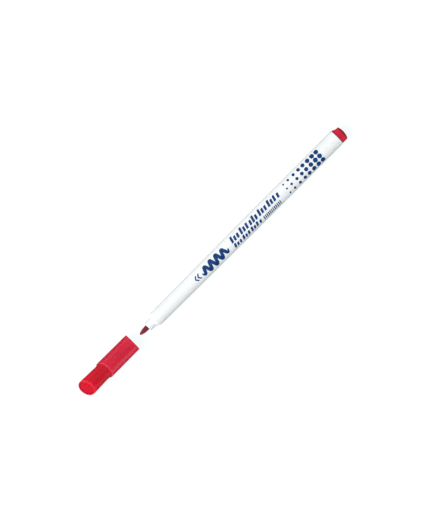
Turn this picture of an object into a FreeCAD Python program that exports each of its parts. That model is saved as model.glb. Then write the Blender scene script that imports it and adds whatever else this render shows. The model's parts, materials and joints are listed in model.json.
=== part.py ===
# Slim whiteboard marker with a pull-off ventilated cap.
# All sizes in millimetres. The marker lies on its side along X: the nib points to -X and the
# end plug to +X. The cap is shown pulled off, ahead of the nib and on the same axis.
# Z is up, and Z = 0 is the surface the marker lies on (the widest part of the cap touches it).
import FreeCAD, Part
import math
import os

os.makedirs("parts", exist_ok=True)
V = FreeCAD.Vector

# ---------------------------------------------------------------- driving dimensions
# Stations along the marker are measured from the front face of the nose, positive towards the rear.
BARREL_R = 4.25           # outside radius of the straight rear part of the barrel
BARREL_FRONT_R = 3.80     # outside radius at the front end of the barrel
BARREL_FRONT_X = 5.60     # front end of the barrel
BARREL_STRAIGHT_X = 70.5  # the straight part starts here
BARREL_REAR_X = 130.9     # rear end of the barrel
BORE_FRONT_R = 3.15       # barrel bore just behind the nib holder
BORE_R = 3.42             # barrel bore along the straight part
HOLDER_SEAT_R = 3.11      # front seat for the nib holder
HOLDER_SEAT_X = 14.0      # rear end of that seat
PLUG_SEAT_R = 3.50        # rear seat for the end plug
PLUG_SEAT_X = 121.0       # front end of that seat
RIB_TIP_R = 3.07          # inner ribs that centre the ink reservoir
RIB_W = 0.55
RIB_COUNT = 6

NOSE_R = 2.45             # cylindrical nose that the cap seals on
NOSE_LEN = 3.37
HOLDER_R = 3.10           # inserted part of the nib holder
NIB_R = 1.25
NIB_TIP_LEN = 5.32        # nib that shows ahead of the nose
NIB_BALL_R = 0.60         # rounding at the very tip of the nib
NIB_REAR_X = 22.0
NIB_BORE_R = 1.26
VENT_GROOVES = 4          # air grooves along the nib bore

RES_R = 2.94              # fibre reservoir
RES_FRONT_X = 14.25
RES_REAR_X = 117.0
FILM_T = 0.10             # wrap around the reservoir

PLUG_R = 4.07             # visible head of the end plug, a little narrower than the barrel
PLUG_END_X = 135.2
PLUG_INSERT_R = 3.47

# The cap is measured from its open rim, positive towards the closed end.
CAP_GAP = 10.4            # open rim to nose face while the cap is off
CAP_RIM_R = 4.74          # outside radius at the rim
CAP_SLEEVE_R = 4.85       # outside radius where the sleeve ends
SLEEVE_TAPER_X = 16.5     # the sleeve tapers out from the rim to here
CAP_BORE_R = 3.93         # sleeve bore that runs over the barrel
CAP_SEAT_R = 4.23         # counterbore that holds the inner cap
CAP_SEAT_X = 15.2         # start of the counterbore
SLEEVE_CUT_X = 19.70      # where the slanted sleeve end crosses the axis
SLEEVE_SLOPE = 0.51       # slope of that slanted end
INNER_R = 4.22            # inner cap, inserted part and waist
INNER_END_R = 4.64        # inner cap at its flared closed end
INNER_WAIST_X = 22.0      # the flare starts here, clear of the sleeve's slanted end
INNER_FLARE_LEN = 12.0
END_CUT_X = 32.00         # where the slanted closed end crosses the axis
END_SLOPE = 0.70
CUT_ROLL = -9.0           # roll of both slanted ends about the axis, in the cap's own direction, from straight up
END_RIM = 0.70            # width of the raised rim round the closed end
END_RECESS = 0.45         # depth of the face inside that rim
SEAL_R = 2.48             # bore that seals round the nose
SEAL_LEAD = 0.70
END_WALL = 1.25
CAP_TRAVEL = 29.5         # cap off to cap fully seated, for reference

# ---------------------------------------------------------------- height of the marker's axis above the surface
AXIS_Z = CAP_SLEEVE_R


# ---------------------------------------------------------------- helpers
def profile_wire(points):
    """Closed wire in the X-radius plane from (x, r) or (x, r, fillet) corners, with tangent arcs at filleted corners."""
    n = len(points)
    corners = []
    for i in range(n):
        x, r = points[i][0], points[i][1]
        f = points[i][2] if len(points[i]) > 2 else 0.0
        corners.append((V(x, r, 0), f))
    starts, ends, arcs = [], [], []
    for i in range(n):
        p, f = corners[i]
        a = corners[i - 1][0]
        b = corners[(i + 1) % n][0]
        if f <= 0:
            starts.append(p)
            ends.append(p)
            arcs.append(None)
            continue
        u = (a - p).normalize()
        w = (b - p).normalize()
        ang = math.acos(max(-1.0, min(1.0, u.dot(w))))
        d = f / math.tan(ang / 2)
        s = p + u * d
        e = p + w * d
        bis = (u + w).normalize()
        centre = p + bis * (f / math.sin(ang / 2))
        mid = centre + (p - centre).normalize() * f
        starts.append(s)
        ends.append(e)
        arcs.append((s, mid, e))
    edges = []
    for i in range(n):
        if arcs[i]:
            edges.append(Part.Arc(*arcs[i]).toShape())
        a, b = ends[i], starts[(i + 1) % n]
        if (a - b).Length > 1e-7:
            edges.append(Part.LineSegment(a, b).toShape())
    return Part.Wire(edges)


def revolve(points):
    """Solid of revolution about the X axis."""
    wire = profile_wire(points)
    face = Part.Face(wire)
    solid = face.revolve(V(0, 0, 0), V(1, 0, 0), 360)
    if solid.ShapeType != "Solid":
        solid = solid.Solids[0]
    return solid if solid.Volume > 0 else solid.reversed()


def tube(x0, x1, r_out, r_in):
    return revolve([(x0, r_in), (x1, r_in), (x1, r_out), (x0, r_out)])


def rod(x0, x1, r):
    return Part.makeCylinder(r, x1 - x0, V(x0, 0, 0), V(1, 0, 0))


def radial_bar(x0, x1, r0, r1, width, angle):
    """Bar along X between two radii, at an angle about X measured from +Z towards -Y."""
    bar = Part.makeBox(x1 - x0, width, r1 - r0, V(x0, -width / 2, r0))
    bar.rotate(V(0, 0, 0), V(1, 0, 0), angle)
    return bar


def slant_keep(x_axis, slope, side, shift=0.0):
    """Big block bounded by the slanted cap plane. side -1 keeps the rim side and +1 keeps what lies beyond the plane.
    shift moves the plane along its own normal, positive towards the closed end."""
    tilt = math.degrees(math.atan(slope))
    block = Part.makeBox(60, 60, 60, V(0 if side > 0 else -60, -30, -30))
    block.translate(V(shift, 0, 0))
    # the upper side of the plane leans back towards the rim
    block.rotate(V(0, 0, 0), V(0, 1, 0), -tilt)
    block.translate(V(x_axis, 0, 0))
    # the lean is then rolled about the axis
    block.rotate(V(0, 0, 0), V(1, 0, 0), CUT_ROLL)
    return block


def barrel_r(x):
    if x >= BARREL_STRAIGHT_X:
        return BARREL_R
    k = (x - BARREL_FRONT_X) / (BARREL_STRAIGHT_X - BARREL_FRONT_X)
    return BARREL_FRONT_R + (BARREL_R - BARREL_FRONT_R) * k


# ---------------------------------------------------------------- barrel
barrel = revolve([
    (BARREL_FRONT_X, HOLDER_SEAT_R, 0.0),
    (HOLDER_SEAT_X + 0.15, HOLDER_SEAT_R),
    (HOLDER_SEAT_X + 0.15, BORE_FRONT_R),
    (BARREL_STRAIGHT_X, BORE_R),
    (PLUG_SEAT_X - 0.3, BORE_R),
    (PLUG_SEAT_X, PLUG_SEAT_R),
    (BARREL_REAR_X - 0.25, PLUG_SEAT_R),
    (BARREL_REAR_X, PLUG_SEAT_R + 0.2),
    (BARREL_REAR_X, BARREL_R, 0.15),
    (BARREL_STRAIGHT_X, BARREL_R),
    (BARREL_FRONT_X, BARREL_FRONT_R, 0.12),
])
# ribs inside the barrel that centre the reservoir and leave air room around it
rib_x0, rib_x1 = HOLDER_SEAT_X + 0.6, PLUG_SEAT_X - 1.5
for i in range(RIB_COUNT):
    rib = radial_bar(rib_x0, rib_x1, RIB_TIP_R, BORE_R + 0.25, RIB_W, 30 + i * 360.0 / RIB_COUNT)
    barrel = barrel.fuse(rib)
barrel = barrel.removeSplitter()

# ---------------------------------------------------------------- nib holder with the nose
holder = revolve([
    (0.0, NIB_BORE_R + 0.18),
    (0.18, NIB_BORE_R),
    (8.0, NIB_BORE_R),
    (8.8, 2.30),
    (HOLDER_SEAT_X, 2.30),
    (HOLDER_SEAT_X, HOLDER_R, 0.25),
    (BARREL_FRONT_X - 0.01, HOLDER_R),
    (BARREL_FRONT_X - 0.01, BARREL_FRONT_R - 0.02, 0.10),
    (NOSE_LEN, NOSE_R, 0.25),
    (0.0, NOSE_R, 0.28),
])
for i in range(VENT_GROOVES):
    groove = radial_bar(-0.5, 8.6, 0.9, NIB_BORE_R + 0.26, 0.38, 45 + i * 90)
    holder = holder.cut(groove)
# shallow grip rings on the inserted part
for x in (7.6, 9.8, 12.0):
    holder = holder.cut(tube(x, x + 0.5, HOLDER_R + 1, HOLDER_R - 0.12))
holder = holder.removeSplitter()

# ---------------------------------------------------------------- nib
def nib_solid():
    """Bullet nib: a straight rod, a curved point ending in a small ball at the front and a blunt cone at the rear."""
    r = NIB_R
    ball_x = -NIB_TIP_LEN + NIB_BALL_R
    phi = math.radians(50)
    c, s = math.cos(phi), math.sin(phi)
    last = V(ball_x - NIB_BALL_R * c, NIB_BALL_R * s, 0)
    pts = [V(0.0, r, 0), V(-1.3, r - 0.01, 0), V(-2.7, r - 0.10, 0), V(-3.7, r - 0.27, 0), V(-4.45, r - 0.51, 0), last]
    spline = Part.BSplineCurve()
    spline.interpolate(pts, InitialTangent=V(-1, 0, 0), FinalTangent=V(-s, -c, 0))
    tip = V(-NIB_TIP_LEN, 0, 0)
    h = phi / 2
    edges = [
        spline.toShape(),
        Part.Arc(last, V(ball_x - NIB_BALL_R * math.cos(h), NIB_BALL_R * math.sin(h), 0), tip).toShape(),
        Part.LineSegment(tip, V(NIB_REAR_X, 0, 0)).toShape(),
        Part.LineSegment(V(NIB_REAR_X, 0, 0), V(NIB_REAR_X, 0.45, 0)).toShape(),
        Part.LineSegment(V(NIB_REAR_X, 0.45, 0), V(NIB_REAR_X - 1.2, r, 0)).toShape(),
        Part.LineSegment(V(NIB_REAR_X - 1.2, r, 0), V(0, r, 0)).toShape(),
    ]
    face = Part.Face(Part.Wire(Part.__sortEdges__(edges)))
    s = face.revolve(V(0, 0, 0), V(1, 0, 0), 360)
    if s.ShapeType != "Solid":
        s = s.Solids[0]
    return s if s.Volume > 0 else s.reversed()


nib = nib_solid()

# ---------------------------------------------------------------- ink reservoir and its wrap
reservoir = revolve([
    (RES_FRONT_X, NIB_BORE_R),
    (NIB_REAR_X - 1.2, NIB_BORE_R),
    (NIB_REAR_X + 0.05, 0.47),
    (NIB_REAR_X + 0.05, 0.0),
    (RES_REAR_X, 0.0),
    (RES_REAR_X, RES_R),
    (RES_FRONT_X, RES_R),
])
film = tube(RES_FRONT_X, RES_REAR_X, RES_R + 0.01 + FILM_T, RES_R + 0.01)

# ---------------------------------------------------------------- end plug
HEAD_X = BARREL_REAR_X + 0.01
DOME_R0 = PLUG_R - 0.55            # where the dome meets the rounded edge
DOME_SAG = 0.72
dome_ball = (DOME_R0 ** 2 + DOME_SAG ** 2) / (2 * DOME_SAG)
dome_c = PLUG_END_X - dome_ball
edge_x = PLUG_END_X - DOME_SAG     # station of the dome's edge
half = 0.5 * math.asin(DOME_R0 / dome_ball)
plug_edges = [
    Part.LineSegment(V(HEAD_X, 0, 0), V(HEAD_X, PLUG_R - 0.06, 0)).toShape(),
    Part.LineSegment(V(HEAD_X, PLUG_R - 0.06, 0), V(HEAD_X + 0.06, PLUG_R, 0)).toShape(),
    Part.LineSegment(V(HEAD_X + 0.06, PLUG_R, 0), V(edge_x - 0.62, PLUG_R, 0)).toShape(),
    Part.Arc(V(edge_x - 0.62, PLUG_R, 0), V(edge_x - 0.19, PLUG_R - 0.15, 0), V(edge_x, DOME_R0, 0)).toShape(),
    Part.Arc(V(edge_x, DOME_R0, 0), V(dome_c + dome_ball * math.cos(half), dome_ball * math.sin(half), 0), V(PLUG_END_X, 0, 0)).toShape(),
    Part.LineSegment(V(PLUG_END_X, 0, 0), V(HEAD_X, 0, 0)).toShape(),
]
head = Part.Face(Part.Wire(Part.__sortEdges__(plug_edges))).revolve(V(0, 0, 0), V(1, 0, 0), 360)
head = head.Solids[0] if head.ShapeType != "Solid" else head
if head.Volume < 0:
    head = head.reversed()
# scalloped thumbnail notch on the +Y side of the head
notch = Part.makeCylinder(5.72, 20, V(134.5, 8.80, -10), V(0, 0, 1))
head = head.cut(notch)
insert = revolve([
    (PLUG_SEAT_X + 1.2, 2.65),
    (BARREL_REAR_X - 0.9, 2.65),
    (BARREL_REAR_X - 0.9, 0.0),
    (HEAD_X + 0.2, 0.0),
    (HEAD_X + 0.2, PLUG_INSERT_R),
    (PLUG_SEAT_X + 1.2, PLUG_INSERT_R, 0.3),
])
# two gripping beads and the relief between them
insert = insert.cut(tube(124.6, 127.0, PLUG_INSERT_R + 1, PLUG_INSERT_R - 0.14))
plug = head.fuse(insert)
# crossed ribs that reach forward and hold the reservoir in place
for a in (0, 90):
    blade = Part.makeBox(BARREL_REAR_X - 0.5 - (RES_REAR_X + 0.15), 0.8, 5.7, V(RES_REAR_X + 0.15, -0.4, -2.85))
    blade.rotate(V(0, 0, 0), V(1, 0, 0), a)
    plug = plug.fuse(blade)
plug = plug.removeSplitter()

# ---------------------------------------------------------------- cap, drawn with its rim at x = 0 and its closed end at +X
sleeve = revolve([
    (0.0, CAP_BORE_R + 0.18),
    (0.55, CAP_BORE_R),
    (CAP_SEAT_X, CAP_BORE_R),
    (CAP_SEAT_X, CAP_SEAT_R),
    (26.0, CAP_SEAT_R),
    (26.0, CAP_SLEEVE_R),
    (SLEEVE_TAPER_X, CAP_SLEEVE_R),
    (0.0, CAP_RIM_R, 0.16),
])
sleeve = sleeve.common(slant_keep(SLEEVE_CUT_X, SLEEVE_SLOPE, -1))
# soften the outer edge of the slanted end
soft = []
for e in sleeve.Edges:
    bb = e.BoundBox
    if bb.XLength > 3.0 and max(abs(bb.YMin), abs(bb.YMax)) > CAP_SLEEVE_R - 0.05 and len(e.Vertexes) <= 2 and bb.XMin > 15.0:
        if bb.YLength > 8.0:
            soft.append(e)
if soft:
    try:
        trial = sleeve.makeFillet(0.25, soft)
        if trial.isValid() and trial.Volume > 0:
            sleeve = trial
            print("sleeve edge softened,", len(soft), "edges")
    except Exception as err:
        print("sleeve edge left sharp:", err)
# small round gate mark of the moulding on the visible side
gate = Part.makeCylinder(0.28, 0.8, V(11.3, 0, CAP_RIM_R - 0.35), V(0, 0, 1))
gate.rotate(V(0, 0, 0), V(1, 0, 0), 15)
cap_gate = gate.common(rod(5, 16, CAP_RIM_R + 0.11)).cut(rod(5, 16, CAP_RIM_R - 0.25))
sleeve = sleeve.fuse(cap_gate).removeSplitter()

# inner cap: waisted body with a slanted closed end, vent channels and the sealing bore
p0 = V(INNER_WAIST_X, INNER_R, 0)
far_x = 38.0
far_r = INNER_R + (INNER_END_R - INNER_R) * (far_x - INNER_WAIST_X) / INNER_FLARE_LEN
edges = [
    Part.LineSegment(V(CAP_SEAT_X + 0.02, 0, 0), V(CAP_SEAT_X + 0.02, INNER_R - 0.12, 0)).toShape(),
    Part.LineSegment(V(CAP_SEAT_X + 0.02, INNER_R - 0.12, 0), V(CAP_SEAT_X + 0.14, INNER_R, 0)).toShape(),
    Part.LineSegment(V(CAP_SEAT_X + 0.14, INNER_R, 0), p0).toShape(),
    Part.LineSegment(p0, V(far_x, far_r, 0)).toShape(),
    Part.LineSegment(V(far_x, far_r, 0), V(far_x, 0, 0)).toShape(),
    Part.LineSegment(V(far_x, 0, 0), V(CAP_SEAT_X + 0.02, 0, 0)).toShape(),
]
inner_blank = Part.Face(Part.Wire(Part.__sortEdges__(edges))).revolve(V(0, 0, 0), V(1, 0, 0), 360)
inner_blank = inner_blank.Solids[0] if inner_blank.ShapeType != "Solid" else inner_blank
if inner_blank.Volume < 0:
    inner_blank = inner_blank.reversed()
inner = inner_blank.common(slant_keep(END_CUT_X, END_SLOPE, -1))
# rounded outer rim of the closed end
rim = []
for e in inner.Edges:
    bb = e.BoundBox
    if bb.XMin > 26.0 and bb.XLength > 3.0 and bb.YLength > 7.5:
        rim.append(e)
fil = inner.makeFillet(0.38, rim)
if fil.isValid():
    inner = fil
else:
    print("rim fillet invalid")
# recessed face inside the rim
recess = revolve([
    (24.0, 0.0),
    (40.0, 0.0),
    (40.0, INNER_END_R - END_RIM),
    (24.0, INNER_END_R - END_RIM - 0.12),
]).common(slant_keep(END_CUT_X, END_SLOPE, 1, -END_RECESS))
inner = inner.cut(recess)
# sealing bore, closed by a slanted wall that follows the outer face
seal = revolve([
    (CAP_SEAT_X - 1.0, 0.0),
    (40.0, 0.0),
    (40.0, SEAL_R - 0.10),
    (CAP_SEAT_X + 5.2, SEAL_R),
    (CAP_SEAT_X + SEAL_LEAD, SEAL_R),
    (CAP_SEAT_X, SEAL_R + 0.42),
    (CAP_SEAT_X - 1.0, SEAL_R + 0.42 + 0.6),
]).common(slant_keep(END_CUT_X, END_SLOPE, -1, -END_RECESS - END_WALL))
inner = inner.cut(seal)
# vent channels on the underside, between the inner cap and the sleeve, open at the slanted sleeve end
for a in (115, 180, 245):
    channel = radial_bar(CAP_SEAT_X - 1, 30, INNER_R - 0.45, 5.4, 1.2, a + CUT_ROLL).common(slant_keep(SLEEVE_CUT_X, SLEEVE_SLOPE, -1, 0.55))
    inner = inner.cut(channel)
inner = inner.removeSplitter()

# ---------------------------------------------------------------- row frame
def turn_cap(shape):
    """From the cap's own direction (closed end at +X) to the row's (closed end at -X), rim ahead of the nose."""
    s = shape.copy()
    s.rotate(V(0, 0, 0), V(0, 0, 1), 180)
    s.translate(V(-CAP_GAP, 0, 0))
    return s


sleeve = turn_cap(sleeve)
inner = turn_cap(inner)
x_min = inner.optimalBoundingBox().XMin
x_max = PLUG_END_X
SHIFT = -(x_min + x_max) / 2.0
nodes = {
    "barrel": barrel,
    "nib_holder": holder,
    "nib": nib,
    "ink_reservoir": reservoir,
    "reservoir_wrap": film,
    "end_plug": plug,
    "cap_sleeve": sleeve,
    "inner_cap": inner,
}
for name, shape in nodes.items():
    s = shape.copy()
    s.translate(V(SHIFT, 0, AXIS_Z))
    bb = s.optimalBoundingBox()
    print(f"{name:15s} valid={s.isValid()} solids={len(s.Solids)} vol={s.Volume:9.2f} "
          f"x {bb.XMin:8.3f} {bb.XMax:8.3f}  y {bb.YMin:7.3f} {bb.YMax:7.3f}  z {bb.ZMin:7.3f} {bb.ZMax:7.3f}")
    s.exportStep(os.path.join("parts", name + ".step"))
    back = Part.Shape()
    back.read(os.path.join("parts", name + ".step"))
    if abs(back.Volume - s.Volume) > 1e-3 * s.Volume or abs(back.optimalBoundingBox().XLength - bb.XLength) > 0.05:
        print("   STEP differs from the solid:", name, back.Volume, back.optimalBoundingBox())
print("row shift along X", round(SHIFT, 4), "axis height", AXIS_Z, "travel", CAP_TRAVEL)
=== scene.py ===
import json
import math

import bmesh
import bpy
import numpy as np
from mathutils import Matrix, Vector


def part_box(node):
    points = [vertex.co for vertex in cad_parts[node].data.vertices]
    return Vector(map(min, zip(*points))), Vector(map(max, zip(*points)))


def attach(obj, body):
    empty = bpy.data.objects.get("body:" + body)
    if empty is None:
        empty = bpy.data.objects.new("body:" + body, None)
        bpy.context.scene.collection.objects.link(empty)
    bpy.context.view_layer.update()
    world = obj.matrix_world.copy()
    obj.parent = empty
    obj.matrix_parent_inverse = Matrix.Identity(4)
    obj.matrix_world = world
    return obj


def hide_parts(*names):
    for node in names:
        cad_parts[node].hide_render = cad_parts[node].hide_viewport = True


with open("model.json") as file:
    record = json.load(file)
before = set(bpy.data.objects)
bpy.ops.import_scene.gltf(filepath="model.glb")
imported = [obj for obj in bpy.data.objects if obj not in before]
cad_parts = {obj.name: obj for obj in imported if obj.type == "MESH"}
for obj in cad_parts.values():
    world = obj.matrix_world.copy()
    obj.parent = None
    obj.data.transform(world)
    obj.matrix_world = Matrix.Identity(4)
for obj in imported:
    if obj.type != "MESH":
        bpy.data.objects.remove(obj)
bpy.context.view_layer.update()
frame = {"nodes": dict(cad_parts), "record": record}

MM = 0.001
RAD = math.radians


# ---------------------------------------------------------------------------------------------- stations from the frame
AXIS_Z = frame["record"]["mounts"][0]["pos_m"][2] / MM      # the marker's axis above the surface
NOSE_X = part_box("nib_holder")[0].x / MM                     # front face of the nose
RIM_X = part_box("cap_sleeve")[1].x / MM                      # open rim of the cap
BARREL_REAR = (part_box("barrel")[1].x / MM) - NOSE_X         # rear end of the barrel, as a station
PLUG_END = (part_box("end_plug")[1].x / MM) - NOSE_X

# ---------------------------------------------------------------------------------------------- camera
PX = 0.4885                                                 # millimetres across one pixel of a 448 x 512 picture
cam_data = bpy.data.cameras.new("camera")
cam_data.type = "PERSP"
cam_data.lens = 250.0
cam_data.sensor_width = 36.0
cam_data.clip_start = 0.05
cam_data.clip_end = 20.0
cam = bpy.data.objects.new("camera", cam_data)
bpy.context.scene.collection.objects.link(cam)
distance = (512 * PX * MM) * cam_data.lens / cam_data.sensor_width
right = Vector((0.70609, -0.70813, 0.0)).normalized()
back = Vector((0.0, 0.0, 1.0))
up = back.cross(right).normalized()
look = Vector(((NOSE_X + 50.86) * MM, -1.92 * MM, AXIS_Z * MM))
cam.matrix_world = Matrix.Translation(look + back * distance) @ Matrix((right, up, back)).transposed().to_4x4()
bpy.context.scene.camera = cam
bpy.context.scene.view_settings.view_transform = "Standard"
bpy.context.scene.view_settings.look = "None"
bpy.context.scene.view_settings.exposure = 0.0
bpy.context.scene.view_settings.gamma = 1.0

# ---------------------------------------------------------------------------------------------- mesh helpers
N = 192
TH = np.linspace(0.0, 2 * math.pi, N, endpoint=False)       # angle round the axis, from +Z towards +Y


def fillet(points, seg=6):
    """Polyline from closed (x, r, fillet) corners, with arcs at the filleted ones."""
    out = []
    n = len(points)
    for i in range(n):
        p = np.array(points[i][:2], float)
        f = points[i][2] if len(points[i]) > 2 else 0.0
        if f <= 0:
            out.append(tuple(p))
            continue
        a = np.array(points[i - 1][:2], float)
        b = np.array(points[(i + 1) % n][:2], float)
        u = (a - p) / np.linalg.norm(a - p)
        w = (b - p) / np.linalg.norm(b - p)
        ang = math.acos(max(-1.0, min(1.0, float(u @ w))))
        d = f / math.tan(ang / 2)
        bis = (u + w) / np.linalg.norm(u + w)
        centre = p + bis * (f / math.sin(ang / 2))
        s, e = p + u * d - centre, p + w * d - centre
        a0, a1 = math.atan2(s[1], s[0]), math.atan2(e[1], e[0])
        while a1 - a0 > math.pi:
            a1 -= 2 * math.pi
        while a1 - a0 < -math.pi:
            a1 += 2 * math.pi
        for k in range(seg + 1):
            t = a0 + (a1 - a0) * k / seg
            out.append((centre[0] + f * math.cos(t), centre[1] + f * math.sin(t)))
    return out


def rings_of(points, longest=4.0):
    """(x, r) polyline, closed, to rings; long runs are divided."""
    out = []
    n = len(points)
    for i in range(n):
        a, b = points[i], points[(i + 1) % n]
        length = math.hypot(b[0] - a[0], b[1] - a[1])
        parts = 1 if (a[1] == 0 and b[1] == 0) else max(1, math.ceil(length / longest))
        for k in range(parts):
            t = k / parts
            out.append((a[0] + (b[0] - a[0]) * t, a[1] + (b[1] - a[1]) * t))
    return out


def full(v):
    return np.full(N, float(v)) if np.isscalar(v) else np.asarray(v, float)


def lathe(name, rings, to_x, closed=True):
    """Skin through rings. Each ring is (station, radius), as numbers or as one value per angle; radius 0 is a pole.
    to_x turns a station into the row's X."""
    verts, faces, index = [], [], []
    for x, r in rings:
        if np.isscalar(r) and r <= 1e-9:
            index.append([len(verts)])
            verts.append((to_x(float(np.mean(x))), 0.0, AXIS_Z))
            continue
        x, r = full(x), full(r)
        index.append(list(range(len(verts), len(verts) + N)))
        for k in range(N):
            verts.append((to_x(x[k]), r[k] * math.sin(TH[k]), AXIS_Z + r[k] * math.cos(TH[k])))
    pairs = [(i, i + 1) for i in range(len(rings) - 1)]
    if closed:
        pairs.append((len(rings) - 1, 0))
    for i, j in pairs:
        a, b = index[i], index[j]
        if len(a) == 1 and len(b) == 1:
            continue
        for k in range(N):
            m = (k + 1) % N
            if len(a) == 1:
                faces.append((a[0], b[m], b[k]))
            elif len(b) == 1:
                faces.append((a[k], a[m], b[0]))
            else:
                faces.append((a[k], a[m], b[m], b[k]))
    me = bpy.data.meshes.new(name)
    me.from_pydata([tuple(c * MM for c in v) for v in verts], [], faces)
    me.validate()
    return tidy(me)


def tidy(me, merge=1e-8):
    bm = bmesh.new()
    bm.from_mesh(me)
    bmesh.ops.remove_doubles(bm, verts=bm.verts[:], dist=merge)
    bmesh.ops.recalc_face_normals(bm, faces=bm.faces[:])
    bm.to_mesh(me)
    bm.free()
    return me


def to_object(name, me):
    ob = bpy.data.objects.new(name, me)
    bpy.context.scene.collection.objects.link(ob)
    return ob


def join_meshes(name, meshes):
    bm = bmesh.new()
    for m in meshes:
        bm.from_mesh(m)
    me = bpy.data.meshes.new(name)
    bm.to_mesh(me)
    bm.free()
    return me


def boolean(me, cutters, op="DIFFERENCE"):
    """Exact boolean of a mesh with others; returns a new mesh."""
    ob = to_object("bool_base", me)
    made = []
    for c in cutters:
        co = to_object("bool_cut", c)
        made.append(co)
        mod = ob.modifiers.new("b", "BOOLEAN")
        mod.operation = op
        mod.solver = "EXACT"
        mod.object = co
    bpy.context.view_layer.update()
    deps = bpy.context.evaluated_depsgraph_get()
    out = bpy.data.meshes.new_from_object(ob.evaluated_get(deps))
    for o in [ob] + made:
        bpy.data.objects.remove(o)
    return out


def block(corners):
    """Closed hexahedron from eight (x, y, z) corners in millimetres: four of one end, then four of the other."""
    me = bpy.data.meshes.new("block")
    faces = [(0, 1, 2, 3), (7, 6, 5, 4), (0, 4, 5, 1), (1, 5, 6, 2), (2, 6, 7, 3), (3, 7, 4, 0)]
    me.from_pydata([tuple(c * MM for c in v) for v in corners], [], faces)
    return tidy(me)


def radial_block(to_x, x0, x1, r0, r1, width, theta, x1_of=None):
    """Bar along the axis between two radii at an angle from +Z towards +Y. x1_of(r, theta) can slant its far end."""
    c, s = math.cos(theta), math.sin(theta)
    corners = []
    for end in (0, 1):
        for r, w in ((r0, -width / 2), (r1, -width / 2), (r1, width / 2), (r0, width / 2)):
            y, z = r * s + w * c, r * c - w * s
            x = x0 if end == 0 else (x1 if x1_of is None else x1_of(math.hypot(y, z), math.atan2(y, z)))
            corners.append((to_x(x), y, AXIS_Z + z))
    return block(corners)


def finish_mesh(ob, sharp=32.0, weighted=True):
    """Smooth shading with real edges kept, and two attributes: one high along convex edges, for rubbed wear and a
    painted highlight, one in inside corners, for painted shade.
    """
    me = ob.data
    me.polygons.foreach_set("use_smooth", np.ones(len(me.polygons), bool))
    bm = bmesh.new()
    bm.from_mesh(me)
    bm.verts.ensure_lookup_table()
    value = np.zeros(len(bm.verts), np.float32)
    corner = np.zeros(len(bm.verts), np.float32)
    for v in bm.verts:
        best = least = 0.0
        for e in v.link_edges:
            if len(e.link_faces) == 2:
                angle = e.calc_face_angle_signed(0.0)
                best, least = max(best, angle), min(least, angle)
        value[v.index] = min(1.0, max(0.0, (best - 0.06) / 0.12))
        corner[v.index] = min(1.0, max(0.0, (-least - 0.25) / 0.30))
    spread = corner.copy()
    for e in bm.edges:
        a, b = (v.index for v in e.verts)
        if e.calc_length() < 0.3 * MM:
            spread[a] = max(spread[a], 0.85 * corner[b])
            spread[b] = max(spread[b], 0.85 * corner[a])
    bm.free()
    for label, data in (("edge_wear_and_highlight", value), ("corner_shade_mask", spread)):
        at = me.attributes.new(label, "FLOAT", "POINT")
        at.data.foreach_set("value", data)
    me.set_sharp_from_angle(angle=RAD(sharp))
    if weighted:
        mod = ob.modifiers.new("normals", "WEIGHTED_NORMAL")
        mod.keep_sharp = True
        mod.weight = 50
    return ob


# ---------------------------------------------------------------------------------------------- materials
def nodes_of(name):
    m = bpy.data.materials.new(name)
    m.use_nodes = True
    nt = m.node_tree
    for n in list(nt.nodes):
        nt.nodes.remove(n)
    out = nt.nodes.new("ShaderNodeOutputMaterial")
    bsdf = nt.nodes.new("ShaderNodeBsdfPrincipled")
    nt.links.new(bsdf.outputs["BSDF"], out.inputs["Surface"])
    return m, nt, bsdf


def coords(nt, scale=(1, 1, 1), rotate=(0, 0, 0)):
    tc = nt.nodes.new("ShaderNodeTexCoord")
    mp = nt.nodes.new("ShaderNodeMapping")
    mp.inputs["Scale"].default_value = scale
    mp.inputs["Rotation"].default_value = rotate
    nt.links.new(tc.outputs["Object"], mp.inputs["Vector"])
    return mp.outputs["Vector"]


def noise(nt, vec, scale, detail=3.0, rough=0.5, distort=0.0):
    n = nt.nodes.new("ShaderNodeTexNoise")
    n.inputs["Scale"].default_value = scale
    n.inputs["Detail"].default_value = detail
    n.inputs["Roughness"].default_value = rough
    n.inputs["Distortion"].default_value = distort
    nt.links.new(vec, n.inputs["Vector"])
    return n.outputs["Fac"]


def ramp(nt, fac, lo, hi, a=0.0, b=1.0):
    r = nt.nodes.new("ShaderNodeMapRange")
    r.clamp = True
    r.inputs["From Min"].default_value = lo
    r.inputs["From Max"].default_value = hi
    r.inputs["To Min"].default_value = a
    r.inputs["To Max"].default_value = b
    nt.links.new(fac, r.inputs["Value"])
    return r.outputs["Result"]


def math_node(nt, op, a, b):
    n = nt.nodes.new("ShaderNodeMath")
    n.operation = op
    for sock, v in zip(n.inputs, (a, b)):
        if isinstance(v, (int, float)):
            sock.default_value = v
        else:
            nt.links.new(v, sock)
    return n.outputs[0]


def mix_colour(nt, fac, a, b):
    n = nt.nodes.new("ShaderNodeMix")
    n.data_type = "RGBA"
    nt.links.new(fac, n.inputs["Factor"])
    for sock, v in ((n.inputs[6], a), (n.inputs[7], b)):
        if isinstance(v, tuple):
            sock.default_value = (*v, 1.0)
        else:
            nt.links.new(v, sock)
    return n.outputs[2]


def bump(nt, height, strength, dist, before=None):
    b = nt.nodes.new("ShaderNodeBump")
    b.inputs["Strength"].default_value = strength
    b.inputs["Distance"].default_value = dist
    nt.links.new(height, b.inputs["Height"])
    if before is not None:
        nt.links.new(before, b.inputs["Normal"])
    return b.outputs["Normal"]


def edge_value(nt, label="edge_wear_and_highlight"):
    a = nt.nodes.new("ShaderNodeAttribute")
    a.attribute_name = label
    return a.outputs["Fac"]


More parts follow.
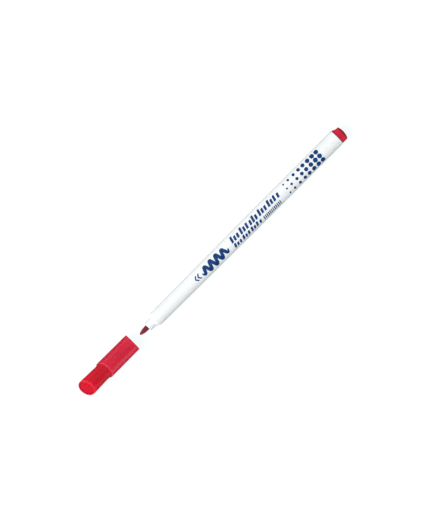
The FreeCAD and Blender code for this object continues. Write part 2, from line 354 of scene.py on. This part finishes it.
def plastic(name, base, deep, light, rough, sss=0.0, sss_radius=(1.0, 1.0, 1.0), sss_scale=0.001, spec=0.5,
            draw_lines=0.10, orange=0.12, scratch=0.25, wear_and_highlight=0.5, ior=1.48, painted_shading=(), painted_shading_colour=None, corner_shade=None,
            tip=None):
    """Injection-moulded polypropylene: soft colour drift, faint draw lines along the axis, orange peel, fine scuffs,
    lighter, duller edges that are partly rubbed wear and partly a painted highlight, painted light and shade in
    bands along the marker, and painted shade in inside corners and on the far lip."""
    m, nt, bsdf = nodes_of(name)
    plain = coords(nt)
    along = coords(nt, scale=(0.06, 1.0, 1.0))
    skew = coords(nt, scale=(1.0, 0.05, 1.0), rotate=(0.3, 0.2, 0.9))
    drift = ramp(nt, noise(nt, plain, 120.0, 3.0, 0.55), 0.3, 0.7)
    flow = ramp(nt, noise(nt, along, 900.0, 4.0, 0.6), 0.35, 0.65)
    speck = ramp(nt, noise(nt, plain, 5200.0, 2.0, 0.6), 0.62, 0.80)
    colour = mix_colour(nt, drift, base, deep)
    colour = mix_colour(nt, math_node(nt, "MULTIPLY", flow, 0.12), colour, light)
    part = nt.nodes.new("ShaderNodeSeparateXYZ")
    nt.links.new(plain, part.inputs["Vector"])

    def shaded(x_none, x_all, amount, below, above, where=None):  # painted light and shade: the colour changes between two stations along the marker
        m_x = nt.nodes.new("ShaderNodeMapRange")
        m_x.interpolation_type = "SMOOTHSTEP"
        m_x.inputs["From Min"].default_value = x_none * MM
        m_x.inputs["From Max"].default_value = x_all * MM
        m_x.inputs["To Max"].default_value = amount
        nt.links.new(part.outputs["X"], m_x.inputs["Value"])
        much = m_x.outputs["Result"] if where is None else math_node(nt, "MULTIPLY", m_x.outputs["Result"], where)
        return mix_colour(nt, much, below, above)

    # painted light and shade in bands along the marker
    for x_none, x_all, amount in painted_shading:
        colour = shaded(x_none, x_all, amount, colour, painted_shading_colour)
    # painted highlight: convex edges are mixed towards the lighter colour, partly as rubbed wear, partly as a painted
    # highlight on the rims
    rub_and_highlight = math_node(nt, "MULTIPLY", edge_value(nt), ramp(nt, noise(nt, plain, 1500.0, 3.0, 0.6), 0.25, 0.75, 0.35, 1.0))
    rub_and_highlight = math_node(nt, "MULTIPLY", rub_and_highlight, wear_and_highlight)
    colour = mix_colour(nt, rub_and_highlight, colour, light)
    # painted shade: the convex edge of the cap's far lip is darkened
    if tip is not None:
        colour = shaded(tip[0], tip[1], tip[2], colour, tip[3], edge_value(nt))
    colour = mix_colour(nt, math_node(nt, "MULTIPLY", speck, 0.10), colour, deep)
    # painted shade in inside corners, such as the dark line inside the closed end's rim
    if corner_shade is not None:
        colour = mix_colour(nt, math_node(nt, "MULTIPLY", edge_value(nt, "corner_shade_mask"), 0.75), colour, corner_shade)
    nt.links.new(colour, bsdf.inputs["Base Color"])
    smear = ramp(nt, noise(nt, plain, 260.0, 4.0, 0.65, 0.6), 0.30, 0.70, -0.045, 0.06)
    scuffs = ramp(nt, noise(nt, skew, 2600.0, 2.0, 0.4), 0.66, 0.74)
    r = math_node(nt, "ADD", smear, rough)
    r = math_node(nt, "ADD", r, math_node(nt, "MULTIPLY", scuffs, 0.01 + 0.36 * scratch))
    r = math_node(nt, "ADD", r, math_node(nt, "MULTIPLY", rub_and_highlight, 0.15))
    nt.links.new(r, bsdf.inputs["Roughness"])
    n1 = bump(nt, noise(nt, along, 2400.0, 2.0, 0.5), draw_lines, 0.00002)
    n2 = bump(nt, noise(nt, plain, 2200.0, 2.0, 0.5), orange, 0.00002, n1)
    n3 = bump(nt, scuffs, scratch, 0.000006, n2)
    nt.links.new(n3, bsdf.inputs["Normal"])
    bsdf.inputs["IOR"].default_value = ior
    bsdf.inputs["Specular IOR Level"].default_value = spec
    if sss:
        bsdf.inputs["Subsurface Weight"].default_value = sss
        bsdf.inputs["Subsurface Radius"].default_value = sss_radius
        bsdf.inputs["Subsurface Scale"].default_value = sss_scale
    return m


def fibre(name, dark, mid, light, rough=0.85, streak=2600.0, strength=0.5, tip_highlight_and_dark_root=None):
    """Bundled fibre: fine streaks along the axis with uneven dye."""
    m, nt, bsdf = nodes_of(name)
    along = coords(nt, scale=(0.035, 1.0, 1.0))
    plain = coords(nt)
    strands = noise(nt, along, streak, 4.0, 0.62)
    grain = noise(nt, plain, 4200.0, 2.0, 0.5)
    blot = ramp(nt, noise(nt, plain, 700.0, 3.0, 0.6), 0.3, 0.7)
    colour = mix_colour(nt, ramp(nt, strands, 0.35, 0.66), dark, mid)
    colour = mix_colour(nt, math_node(nt, "MULTIPLY", blot, 0.45), colour, light)
    if tip_highlight_and_dark_root is not None:                                     # the nib's root is painted darker, and its tip is painted paler as a painted highlight
        part = nt.nodes.new("ShaderNodeSeparateXYZ")
        nt.links.new(plain, part.inputs["Vector"])
        tip = ramp(nt, part.outputs["X"], (tip_highlight_and_dark_root[0] - 3.2) * MM, (tip_highlight_and_dark_root[0] - 5.4) * MM, 0.0, 0.45)
        root = ramp(nt, part.outputs["X"], (tip_highlight_and_dark_root[0] - 1.6) * MM, tip_highlight_and_dark_root[0] * MM, 0.0, 0.80)
        colour = mix_colour(nt, tip, colour, tip_highlight_and_dark_root[1])
        colour = mix_colour(nt, root, colour, dark)
    nt.links.new(colour, bsdf.inputs["Base Color"])
    nt.links.new(ramp(nt, grain, 0.3, 0.7, rough - 0.12, rough + 0.08), bsdf.inputs["Roughness"])
    n1 = bump(nt, strands, strength, 0.00004)
    n2 = bump(nt, grain, strength * 0.5, 0.00002, n1)
    nt.links.new(n2, bsdf.inputs["Normal"])
    bsdf.inputs["Specular IOR Level"].default_value = 0.20
    return m


def film_material(name):
    m, nt, bsdf = nodes_of(name)
    v = coords(nt, scale=(0.2, 1.0, 1.0))
    creases = noise(nt, v, 700.0, 4.0, 0.6)
    nt.links.new(mix_colour(nt, ramp(nt, creases, 0.3, 0.7), (0.80, 0.83, 0.86), (0.90, 0.92, 0.94)), bsdf.inputs["Base Color"])
    nt.links.new(ramp(nt, creases, 0.3, 0.7, 0.06, 0.16), bsdf.inputs["Roughness"])
    nt.links.new(bump(nt, creases, 0.3, 0.00003), bsdf.inputs["Normal"])
    bsdf.inputs["Alpha"].default_value = 0.45
    return m


def ink(name, base, deep):
    """Screen-printed ink: even, slightly raised and satin, with a fine mesh grain."""
    m, nt, bsdf = nodes_of(name)
    plain = coords(nt)
    cloud = ramp(nt, noise(nt, plain, 900.0, 3.0, 0.6), 0.3, 0.7)
    grain = noise(nt, plain, 9000.0, 2.0, 0.5)
    nt.links.new(mix_colour(nt, cloud, base, deep), bsdf.inputs["Base Color"])
    nt.links.new(ramp(nt, grain, 0.3, 0.7, 0.34, 0.46), bsdf.inputs["Roughness"])
    nt.links.new(bump(nt, grain, 0.12, 0.000006), bsdf.inputs["Normal"])
    bsdf.inputs["Specular IOR Level"].default_value = 0.25
    return m


WHITE = plastic("white_polypropylene", (0.884, 0.877, 0.877), (0.867, 0.862, 0.864), (0.92, 0.92, 0.92), 0.30,
                sss=0.12, sss_radius=(1.0, 1.0, 1.0), sss_scale=0.0008, draw_lines=0.06, orange=0.06, scratch=0.02, wear_and_highlight=0.3)
HOLDER = plastic("white_holder_plastic", (0.86, 0.87, 0.875), (0.83, 0.845, 0.85), (0.92, 0.92, 0.92), 0.36,
                 sss=0.10, sss_scale=0.0006, draw_lines=0.05, orange=0.08, scratch=0.1, wear_and_highlight=0.2)
# the strong edge lightening of the sleeve and inner cap paints the highlight rings on their ends, as well as wear
SLEEVE_RED = plastic("red_sleeve_polypropylene", (0.525, 0.0078, 0.035), (0.497, 0.0065, 0.030), (0.655, 0.038, 0.064), 0.38,
                     sss=0.55, sss_radius=(1.0, 0.06, 0.06), sss_scale=0.0018, spec=0.22, wear_and_highlight=0.8)
RIM_X0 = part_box("cap_sleeve")[1].x / MM                     # painted light: the inner cap's red is painted brighter towards its closed end
# the inner cap also gets painted shade on the far lip of its closed end and in its inside corners
INNER_RED = plastic("red_inner_polypropylene", (0.455, 0.0034, 0.0150), (0.425, 0.0029, 0.0125), (0.620, 0.040, 0.060), 0.44,
                    sss=0.50, sss_radius=(1.0, 0.05, 0.05), sss_scale=0.0015, spec=0.11, wear_and_highlight=0.9,
                    painted_shading=((RIM_X0 - 23.0, RIM_X0 - 28.5, 0.90),), painted_shading_colour=(0.530, 0.0038, 0.0190),
                    corner_shade=(0.24, 0.0022, 0.009), tip=(RIM_X0 - 31.9, RIM_X0 - 33.6, 0.9, (0.360, 0.0040, 0.0310)))
END_X = NOSE_X + PLUG_END                                   # painted shade: the end dome, turned away from the key light, and a band beside the joint with the barrel are painted a deep maroon
JOINT_X = NOSE_X + BARREL_REAR
PLUG_RED = plastic("red_plug_polypropylene", (0.560, 0.0070, 0.031), (0.510, 0.0058, 0.026), (0.680, 0.036, 0.060), 0.34,
                   sss=0.30, sss_radius=(1.0, 0.06, 0.06), sss_scale=0.0012, spec=0.20, wear_and_highlight=0.25,
                   painted_shading=((END_X - 1.55, END_X - 0.95, 0.66), (JOINT_X + 1.20, JOINT_X + 0.60, 0.90)),
                   painted_shading_colour=(0.270, 0.0060, 0.028))
NIB_RED = fibre("dyed_nib_fibre", (0.130, 0.010, 0.020), (0.245, 0.017, 0.033), (0.300, 0.032, 0.046), strength=0.35,
                tip_highlight_and_dark_root=(NOSE_X, (0.360, 0.070, 0.082)))
CORE_RED = fibre("ink_soaked_fibre", (0.30, 0.012, 0.02), (0.52, 0.03, 0.05), (0.62, 0.08, 0.10), streak=1400.0)
FILM = film_material("clear_wrap_film")
BLUE = ink("blue_print_ink", (0.0014, 0.045, 0.185), (0.0011, 0.037, 0.160))


def paint(ob, mat):
    ob.data.materials.clear()
    ob.data.materials.append(mat)
    return ob


# ---------------------------------------------------------------------------------------------- barrel
FRONT, STRAIGHT, REAR = 5.60, 70.5, BARREL_REAR
R_FRONT, R_BODY = 3.80, 4.25


def pen_x(x):
    return NOSE_X + x


def barrel_r(x):
    if x >= STRAIGHT:
        return R_BODY
    return R_FRONT + (R_BODY - R_FRONT) * (x - FRONT) / (STRAIGHT - FRONT)


outline = fillet([
    (FRONT, 3.11, 0.06),
    (14.15, 3.11), (14.15, 3.15),
    (STRAIGHT, 3.42), (120.7, 3.42), (121.0, 3.50), (REAR - 0.25, 3.50), (REAR, 3.68, 0.04),
    (REAR, R_BODY, 0.07),
    (STRAIGHT, R_BODY),
    (FRONT, R_FRONT, 0.16),
])
barrel = to_object("barrel_tube", lathe("barrel_tube", rings_of(outline), pen_x))
finish_mesh(barrel)
paint(barrel, WHITE)
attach(barrel, "barrel_body")
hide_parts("barrel")

# ribs inside the barrel that centre the reservoir
ribs = []
for i in range(6):
    th = RAD(-(30 + i * 60))
    ribs.append(radial_block(pen_x, 14.6, 119.5, 3.07, 3.30, 0.55, th))
barrel_ribs = to_object("barrel_inner_ribs", join_meshes("barrel_inner_ribs", ribs))
finish_mesh(barrel_ribs, weighted=False)
paint(barrel_ribs, WHITE)
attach(barrel_ribs, "barrel_body")

# ---------------------------------------------------------------------------------------------- nib holder
outline = fillet([
    (0.0, 1.44, 0.05), (0.18, 1.26), (8.0, 1.26), (8.8, 2.30), (14.0, 2.30), (14.0, 3.10, 0.25),
    (5.585, 3.10), (5.585, 3.775, 0.12), (3.37, 2.45, 0.30), (0.0, 2.45, 0.30),
])
holder_me = lathe("holder", rings_of(outline), pen_x)
grooves = [radial_block(pen_x, -0.5, 8.6, 0.9, 1.52, 0.38, RAD(45 + 90 * k)) for k in range(4)]
holder_me = boolean(holder_me, grooves)
holder = to_object("nose_and_nib_holder", holder_me)
finish_mesh(holder)
paint(holder, HOLDER)
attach(holder, "barrel_body")
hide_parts("nib_holder")

# ---------------------------------------------------------------------------------------------- nib
rng = np.random.RandomState(11)
tip_ball, tip_len, nib_r = 0.60, 5.32, 1.25
phi = RAD(50)
ball_x = -tip_len + tip_ball
tip_pts = [(-tip_len, 0.0)] + [(ball_x - tip_ball * math.cos(a), tip_ball * math.sin(a)) for a in np.linspace(RAD(8), phi, 6)]
body_pts = [(-4.85, 0.60), (-4.45, 0.74), (-4.05, 0.87), (-3.7, 0.98), (-3.2, 1.10), (-2.7, 1.18), (-2.0, 1.25), (-1.3, 1.30), (-0.6, 1.33), (-0.12, 1.33), (0.06, 1.29)]
run = tip_pts + body_pts + [(x, nib_r) for x in np.arange(0.22, 20.5, 0.7)] + [(20.8, nib_r), (22.0, 0.45), (22.0, 0.0)]
strand = rng.normal(0, 1, N)
strand = (np.roll(strand, 1) + 2 * strand + np.roll(strand, -1)) / 4
rings = []
for x, r in run:
    if r == 0:
        rings.append((x, 0.0))
        continue
    local = rng.normal(0, 1, N)
    local = (np.roll(local, 1) + 2 * local + np.roll(local, -1)) / 4
    depth = 0.011 * min(1.0, r / 0.8) if x < 0.2 else 0.0
    rings.append((x, full(r) - 0.012 + np.clip(depth * (0.75 * strand + 0.35 * local), -0.02, 0.011)))
nib = to_object("bullet_nib", lathe("bullet_nib", rings, pen_x, closed=False))
finish_mesh(nib, sharp=60, weighted=False)
paint(nib, NIB_RED)
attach(nib, "barrel_body")
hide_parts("nib")

# ---------------------------------------------------------------------------------------------- end plug
PLUG_R = 4.07
HEAD = REAR + 0.01
DOME_R0, DOME_SAG = PLUG_R - 0.55, 0.72
dome_ball = (DOME_R0 ** 2 + DOME_SAG ** 2) / (2 * DOME_SAG)
dome_c = PLUG_END - dome_ball
edge_x = PLUG_END - DOME_SAG
line = [(HEAD, 0.0), (HEAD, PLUG_R - 0.26), (HEAD + 0.10, PLUG_R - 0.24), (HEAD + 0.20, PLUG_R - 0.10), (HEAD + 0.32, PLUG_R)]
line += [(HEAD + 0.32 + (edge_x - 0.62 - HEAD - 0.32) * k / 8, PLUG_R) for k in range(1, 9)]
# rounded shoulder into the dome
a0 = (edge_x - 0.62, PLUG_R)
a1 = (edge_x, DOME_R0)
slope_end = math.atan2(-(DOME_R0), edge_x - dome_c)        # tangent of the dome at its edge
for k in range(1, 9):
    t = k / 8
    # cubic with the shoulder's tangents
    d0, d1 = (0.75, 0.0), (0.75 * math.sin(math.asin(DOME_R0 / dome_ball)) * 0.6, -0.75)
    h00, h10 = 2 * t ** 3 - 3 * t ** 2 + 1, t ** 3 - 2 * t ** 2 + t
    h01, h11 = -2 * t ** 3 + 3 * t ** 2, t ** 3 - t ** 2
    line.append((h00 * a0[0] + h10 * d0[0] + h01 * a1[0] + h11 * d1[0], h00 * a0[1] + h10 * d0[1] + h01 * a1[1] + h11 * d1[1]))
amax = math.asin(DOME_R0 / dome_ball)
for k in range(1, 16):
    a = amax * (1 - k / 16)
    line.append((dome_c + dome_ball * math.cos(a), dome_ball * math.sin(a)))
line.append((PLUG_END, 0.0))
head_me = lathe("head", line, pen_x, closed=False)
notch_me = bpy.data.meshes.new("notch")
bm = bmesh.new()
bmesh.ops.create_cone(bm, cap_ends=True, segments=256, radius1=5.72 * MM, radius2=5.72 * MM, depth=20 * MM,
                      matrix=Matrix.Translation((pen_x(134.5) * MM, 8.80 * MM, AXIS_Z * MM)))
bm.to_mesh(notch_me)
bm.free()
head_me = boolean(head_me, [notch_me])
# soften the edges of the thumbnail notch
bm = bmesh.new()
bm.from_mesh(head_me)
bmesh.ops.remove_doubles(bm, verts=bm.verts[:], dist=2e-6)
cut_edges = [e for e in bm.edges if len(e.link_faces) == 2 and e.calc_face_angle(0.0) > RAD(24)
             and all(v.co.y > 1.5 * MM and v.co.x > pen_x(HEAD + 0.3) * MM for v in e.verts)]
bmesh.ops.bevel(bm, geom=cut_edges, offset=0.10 * MM, segments=3, profile=0.5, affect="EDGES", clamp_overlap=True)
bm.to_mesh(head_me)
bm.free()
insert_me = lathe("insert", rings_of(fillet([
    (122.2, 2.65, 0.05), (REAR - 0.9, 2.65), (REAR - 0.9, 0.0), (HEAD - 0.005, 0.0), (HEAD - 0.005, 3.47),
    (127.0, 3.47), (127.0, 3.33), (124.6, 3.33), (124.6, 3.47), (122.2, 3.47, 0.3),
])), pen_x)
blades = []
for a in (0, 90):
    c, s = math.cos(RAD(a)), math.sin(RAD(a))
    pts = []
    for x in (117.15, REAR - 0.5):
        for w, h in ((-0.4, -2.85), (0.4, -2.85), (0.4, 2.85), (-0.4, 2.85)):
            pts.append((pen_x(x), w * c - h * s, AXIS_Z + w * s + h * c))
    blades.append(block(pts))
plug = to_object("rear_end_plug", join_meshes("rear_end_plug", [head_me, insert_me] + blades))
finish_mesh(plug, sharp=40)
paint(plug, PLUG_RED)
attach(plug, "barrel_body")
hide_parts("end_plug")

# ---------------------------------------------------------------------------------------------- cap
ROLL = RAD(-9.0)
CUT_S, SLOPE_S = 19.70, 0.51
CUT_E, SLOPE_E = 31.90, 0.70
R_RIM, R_SLEEVE, R_SEAT = 4.74, 4.85, 4.23
R_WAIST, R_END = 4.22, 4.64
RECESS, END_WALL = 0.45, 1.25
COS_S, COS_E = math.cos(math.atan(SLOPE_S)), math.cos(math.atan(SLOPE_E))


def cap_x(x):
    return RIM_X - x


def lean(cut, slope, r, dn=0.0, theta=None):
    th = TH if theta is None else theta
    return cut + dn / math.cos(math.atan(slope)) - slope * r * np.cos(th - ROLL)


def sleeve_r(x):
    return R_RIM + (R_SLEEVE - R_RIM) * np.minimum(np.asarray(x, float), 16.5) / 16.5


def waist_r(x):
    x = np.asarray(x, float)
    return R_WAIST + (R_END - R_WAIST) * np.clip(x - 22.0, 0, None) / 12.0


rings = []
# rim, inside chamfer, bore
rings += [(0.0, 4.17), (0.03, 4.10), (0.30, 4.00), (0.55, 3.93)]
rings += [(x, 3.93) for x in np.linspace(2.0, 15.2, 8)]
rings += [(15.2, R_SEAT)]
rings += [(0.5 * (15.2 + lean(CUT_S, SLOPE_S, R_SEAT)), R_SEAT)]
rings += [(lean(CUT_S, SLOPE_S, R_SEAT, -0.05), R_SEAT), (lean(CUT_S, SLOPE_S, R_SEAT + 0.015, -0.015), R_SEAT + 0.015),
          (lean(CUT_S, SLOPE_S, R_SEAT + 0.05), R_SEAT + 0.05)]
f = 0.26
ro = sleeve_r(lean(CUT_S, SLOPE_S, R_SLEEVE, -f))
rings += [(lean(CUT_S, SLOPE_S, R_SEAT + 0.22), full(R_SEAT + 0.22))]
for k in range(0, 7):
    a = RAD(90 * k / 6)
    r = ro - f + f * math.sin(a)
    rings.append((lean(CUT_S, SLOPE_S, r, -f + f * math.cos(a)), r))
xa = lean(CUT_S, SLOPE_S, ro, -f)
for k in range(1, 20):
    t = k / 20
    x = xa * (1 - t) + 0.16 * t
    rings.append((x, sleeve_r(x)))
for k in range(0, 6):
    a = RAD(90 * k / 5)
    rings.append((0.16 - 0.16 * math.sin(a), R_RIM - 0.16 + 0.16 * math.cos(a)))
sleeve_me = lathe("sleeve", rings, cap_x)
# small round gate mark of the moulding
gate = bpy.data.meshes.new("gate")
bm = bmesh.new()
bmesh.ops.create_cone(bm, cap_ends=True, segments=40, radius1=0.30 * MM, radius2=0.24 * MM, depth=0.5 * MM,
                      matrix=Matrix.Translation((0, 0, (float(sleeve_r(11.3)) + 0.045 - 0.25) * MM)))
bm.transform(Matrix.Translation((cap_x(11.3) * MM, 0, AXIS_Z * MM)) @ Matrix.Rotation(-RAD(15), 4, "X"))
bm.to_mesh(gate)
bm.free()
sleeve_me = boolean(sleeve_me, [gate], "UNION")
sleeve = to_object("cap_outer_sleeve", sleeve_me)
finish_mesh(sleeve)
paint(sleeve, SLEEVE_RED)
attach(sleeve, "cap")
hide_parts("cap_sleeve")

wall = RECESS + END_WALL
rings = [(CUT_E - wall / COS_E, 0.0)]
rings += [(lean(CUT_E, SLOPE_E, r, -wall), r) for r in (0.6, 1.3, 2.0, 2.25)]
rings += [(lean(CUT_E, SLOPE_E, 2.36, -wall - 0.07), 2.36), (lean(CUT_E, SLOPE_E, 2.38, -wall - 0.20), 2.38)]
xe = lean(CUT_E, SLOPE_E, 2.38, -wall - 0.20)
for t in (0.25, 0.5, 0.75):
    rings.append((xe * (1 - t) + 20.4 * t, 2.38 + 0.10 * t))
rings += [(20.4, 2.48), (18.0, 2.48), (15.95, 2.48), (15.85, 2.50), (15.24, 2.88), (15.22, 2.93)]
rings += [(15.22, 3.4), (15.22, R_WAIST - 0.13), (15.25, R_WAIST - 0.05), (15.36, R_WAIST)]
rings += [(x, R_WAIST) for x in (16.5, 18.0, 19.5, 21.0, 22.0)]
fe = 0.40
r_end = waist_r(lean(CUT_E, SLOPE_E, R_END, -fe))
xb = lean(CUT_E, SLOPE_E, r_end, -fe)
for k in range(1, 22):
    t = k / 22
    x = 22.0 * (1 - t) + xb * t
    rings.append((x, waist_r(x)))
for k in range(0, 8):
    a = RAD(90 * (1 - k / 7))
    r = r_end - fe + fe * math.sin(a)
    rings.append((lean(CUT_E, SLOPE_E, r, -fe + fe * math.cos(a)), r))
r_in = 3.92
rings += [(lean(CUT_E, SLOPE_E, full(r_in) + 0.10, 0.0), full(r_in) + 0.10),
          (lean(CUT_E, SLOPE_E, r_in + 0.03, -0.025), r_in + 0.03),
          (lean(CUT_E, SLOPE_E, r_in, -0.09), r_in),
          (lean(CUT_E, SLOPE_E, r_in - 0.03, -RECESS + 0.10), r_in - 0.03),
          (lean(CUT_E, SLOPE_E, r_in - 0.05, -RECESS + 0.03), r_in - 0.05),
          (lean(CUT_E, SLOPE_E, r_in - 0.12, -RECESS), r_in - 0.12)]
rings += [(lean(CUT_E, SLOPE_E, r, -RECESS), r) for r in (3.58, 3.35, 2.6, 1.8, 0.9)]
rings += [(CUT_E - RECESS / COS_E, 0.0)]
inner_me = lathe("inner", rings, cap_x, closed=False)
channels = [
    radial_block(cap_x, 14.2, 0, R_WAIST - 0.45, 5.4, 1.2, RAD(a) + ROLL,
                 x1_of=lambda r, th: float(lean(CUT_S, SLOPE_S, r, 0.55, th)))
    for a in (115, 180, 245)
]
inner_me = boolean(inner_me, channels)
inner = to_object("cap_inner_cap", inner_me)
finish_mesh(inner)
paint(inner, INNER_RED)
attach(inner, "cap")
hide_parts("inner_cap")

# ---------------------------------------------------------------------------------------------- inside, straight from the frame
for node, mat in (("ink_reservoir", CORE_RED), ("reservoir_wrap", FILM)):
    paint(frame["nodes"][node], mat)

# ---------------------------------------------------------------------------------------------- printed ink on the barrel
FILM_H = 0.012


def v_of(t_px):
    """Arc length round the barrel, positive towards -Y, of a point seen t_px pixels beside the axis."""
    return R_BODY * math.asin(max(-0.999, min(0.999, t_px * PX / R_BODY)))


def wrap(name, polygons):
    """Thin film of ink on the barrel from flat convex polygons (u = station, v = arc length, positive to -Y)."""
    bm = bmesh.new()
    for poly in polygons:
        vs = [bm.verts.new((u, v, 0.0)) for u, v in poly]
        bm.faces.new(vs)
    bmesh.ops.remove_doubles(bm, verts=bm.verts[:], dist=1e-5)
    bmesh.ops.recalc_face_normals(bm, faces=bm.faces[:])
    for f in bm.faces:
        if f.normal.z < 0:
            f.normal_flip()
    lo = min(v.co.y for v in bm.verts)
    hi = max(v.co.y for v in bm.verts)
    k = math.floor(lo / 0.3)
    while k * 0.3 < hi:
        geom = bm.verts[:] + bm.edges[:] + bm.faces[:]
        bmesh.ops.bisect_plane(bm, geom=geom, dist=1e-6, plane_co=(0, k * 0.3 + 0.013, 0), plane_no=(0, 1, 0))
        k += 1
    base_faces = bm.faces[:]
    got = bmesh.ops.extrude_face_region(bm, geom=base_faces, use_keep_orig=True)
    top = [g for g in got["geom"] if isinstance(g, bmesh.types.BMVert)]
    top_set = set(top)
    for v in bm.verts:
        u, w = v.co.x, v.co.y
        r = barrel_r(u) + (FILM_H if v in top_set else -0.03)
        a = w / R_BODY
        v.co = Vector((pen_x(u) * MM, -r * math.sin(a) * MM, (AXIS_Z + r * math.cos(a)) * MM))
    bmesh.ops.recalc_face_normals(bm, faces=bm.faces[:])
    me = bpy.data.meshes.new(name)
    bm.to_mesh(me)
    bm.free()
    ob = to_object(name, me)
    me.polygons.foreach_set("use_smooth", np.ones(len(me.polygons), bool))
    me.set_sharp_from_angle(angle=RAD(35))
    paint(ob, BLUE)
    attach(ob, "barrel_body")
    return ob


def disc(u, v, d, tall=1.0, n=40):
    return [(u + d / 2 * math.cos(2 * math.pi * k / n), v + tall * d / 2 * math.sin(2 * math.pi * k / n)) for k in range(n)]


def bar(u0, u1, v0, v1, skew=0.0, r=0.25, n=5):
    """Rounded bar; v0 is the side nearer -Y's far edge, skew leans its v0 side along +u."""
    pts = []
    for cu, cv, a0 in ((u1 - r, v1 - r, 0), (u0 + r, v1 - r, 90), (u0 + r, v0 + r, 180), (u1 - r, v0 + r, 270)):
        for k in range(n + 1):
            a = RAD(a0 + 90 * k / n)
            pts.append((cu + r * math.cos(a), cv + r * math.sin(a)))
    mid = (v0 + v1) / 2
    return [(u - skew * (v - mid), v) for u, v in pts]


def stroke(centre, widths):
    """Quads along a centre line with a width at each point."""
    c = np.array(centre, float)
    d = np.gradient(c, axis=0)
    d /= np.linalg.norm(d, axis=1)[:, None]
    nrm = np.stack([-d[:, 1], d[:, 0]], 1)
    a = c + nrm * np.array(widths)[:, None] / 2
    b = c - nrm * np.array(widths)[:, None] / 2
    return [[tuple(a[i]), tuple(b[i]), tuple(b[i + 1]), tuple(a[i + 1])] for i in range(len(c) - 1)]


# fading grid of dots towards the rear
cols = [(95.8, 1.00), (99.0, 1.30), (102.7, 1.62), (106.1, 1.88), (109.1, 2.12), (112.3, 2.34), (115.4, 2.46), (118.3, 2.46)]
rows = ((-2.32, 1.06), (0.44, 1.0), (3.26, 1.14))
wrap("print_dot_grid", [disc(u, v, d, tall) for u, d in cols for v, tall in rows])

# a plain bold wavy line
wave = []
for k in range(0, 241):
    t = k / 240
    u = 37.2 + 17.6 * t
    amp = 2.30 * (0.62 + 0.38 * math.sin(math.pi * t))
    wave.append((u, 0.60 + amp * math.sin(2 * math.pi * 4.5 * t)))
width = [1.72 * (0.35 + 0.65 * min(1.0, 6 * min(k, 240 - k) / 240 * 2)) for k in range(241)]
wrap("print_wave_line", stroke(wave, width))


def dashes(u0, u1, v_base, heights, wide, gap, lean_by):
    """Row of slanted rounded dashes that stand on one base line, in groups with a wider gap between them."""
    out, u, k = [], u0, 0
    while u + wide <= u1:
        h = heights[k % len(heights)]
        out.append(bar(u + lean_by * h / 2, u + lean_by * h / 2 + wide, v_base - h, v_base, skew=lean_by, r=0.30))
        u += wide + (gap if (k + 1) % 3 else gap * 1.75)
        k += 1
    return out


# plain dashes in two rows
wrap("print_dashes_upper", dashes(57.9, 91.8, 0.70, (3.5, 2.5, 2.5, 3.5, 2.5, 3.0, 2.5, 3.5, 2.5), 1.32, 0.62, 0.26))
wrap("print_dashes_lower", dashes(57.6, 76.4, 3.85, (2.6, 2.0, 2.0, 2.6, 2.0, 2.3, 2.6, 2.0), 1.20, 0.56, 0.26))
bars = []
for k in range(12):
    u = 77.8 + k * 1.0
    bars.append(bar(u, u + 0.54, 2.00, 4.30, skew=0.12, r=0.12, n=3))
wrap("print_fine_strokes", bars)

# two small chevrons that point to the nib
bars = []
for k in range(2):
    u = 32.4 + 1.7 * k
    tip = (u, 0.5)
    for sgn in (-1, 1):
        bars.append([(u, 0.5), (u + 0.85, 0.5), (u + 1.98, 0.5 + sgn * 1.6), (u + 1.13, 0.5 + sgn * 1.6)])
wrap("print_chevrons", bars)

# ---------------------------------------------------------------------------------------------- floor and light
floor_me = bpy.data.meshes.new("floor")
floor_me.from_pydata([(-3, -3, 0), (3, -3, 0), (3, 3, 0), (-3, 3, 0)], [], [(0, 1, 2, 3)])
floor = to_object("floor", floor_me)
fm, fnt, fb = nodes_of("pale_floor")
fb.inputs["Base Color"].default_value = (0.13, 0.13, 0.13, 1.0)
fb.inputs["Roughness"].default_value = 0.9
fb.inputs["Emission Color"].default_value = (0.965, 1.0, 1.0, 1.0)
fb.inputs["Emission Strength"].default_value = 0.91
fb.inputs["Specular IOR Level"].default_value = 0.0
paint(floor, fm)
floor.visible_glossy = False                                # a dull backdrop: it lights the marker but leaves no mirror image in it

# a soft tent, bright overhead and dim towards the horizon
world = bpy.data.worlds.new("studio")
bpy.context.scene.world = world
world.use_nodes = True
wt = world.node_tree
bg = wt.nodes["Background"]
tc = wt.nodes.new("ShaderNodeTexCoord")
sep = wt.nodes.new("ShaderNodeSeparateXYZ")
wt.links.new(tc.outputs["Generated"], sep.inputs["Vector"])
wr = wt.nodes.new("ShaderNodeMapRange")
wr.interpolation_type = "SMOOTHSTEP"
wr.inputs["From Min"].default_value = -0.05
wr.inputs["From Max"].default_value = 0.75
wr.inputs["To Min"].default_value = 0.16
wr.inputs["To Max"].default_value = 0.46
wt.links.new(sep.outputs["Z"], wr.inputs["Value"])
wt.links.new(wr.outputs["Result"], bg.inputs["Strength"])
bg.inputs["Color"].default_value = (0.82, 0.955, 1.0, 1.0)


def area(name, where, target, size, power, colour=(1, 1, 1)):
    d = bpy.data.lights.new(name, "AREA")
    d.shape = "SQUARE"
    d.size = size
    d.energy = power
    d.color = colour
    o = bpy.data.objects.new(name, d)
    bpy.context.scene.collection.objects.link(o)
    o.location = where
    o.rotation_euler = (Vector(target) - Vector(where)).to_track_quat("-Z", "Y").to_euler()
    return o


key_dir = Vector((-0.55, 0.19, 0.80)).normalized()
area("key_softbox", tuple(key_dir * 4.8), (0, 0, 0), 2.61, 236.0, (1.0, 0.975, 0.965))
# weak low softboxes on both sides for the red pieces only
reds = bpy.data.collections.new("red_pieces")
for piece in (sleeve, inner, plug):
    reds.objects.link(piece)
for name, side_dir, power in (("side_softbox", (-0.22, -0.93, 0.14), 7.2), ("far_side_softbox", (-0.25, 0.86, 0.30), 3.6)):
    side_dir = Vector(side_dir).normalized()
    side = area(name, tuple(side_dir * 1.2), (0, 0, 0), 0.60, power, (1.0, 0.97, 1.0))
    side.light_linking.receiver_collection = reds
